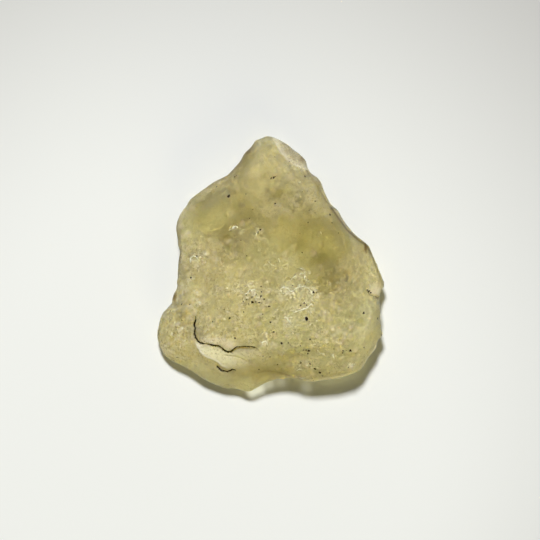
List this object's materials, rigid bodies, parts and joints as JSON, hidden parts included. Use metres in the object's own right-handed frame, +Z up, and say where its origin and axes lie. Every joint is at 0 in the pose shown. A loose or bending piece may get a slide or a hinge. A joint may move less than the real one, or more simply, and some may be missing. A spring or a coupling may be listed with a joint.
{
  "type": "raw libyan desert glass",
  "caption": "Raw nugget of translucent pale yellow-green natural glass, wind-worn and pitted, with a narrow tip and a broad lobed base, lying on a flat patch.",
  "frame": {"origin": "under the middle of the plan outline, on the surface that the nugget rests on", "axes": "+Y along the longest extent, towards the narrow tip; +Z up, along the thickness; +X to the right seen from above"},
  "size_m": [0.0316, 0.0356, 0.0096],
  "materials": {
    "desert_glass": "translucent pale yellow-green glass, wind-polished to a satin gloss, with small pits that hold dark dirt"
  },
  "bodies": {
    "root": {"desert_glass_nugget": "desert_glass"}
  },
  "joints": []
}
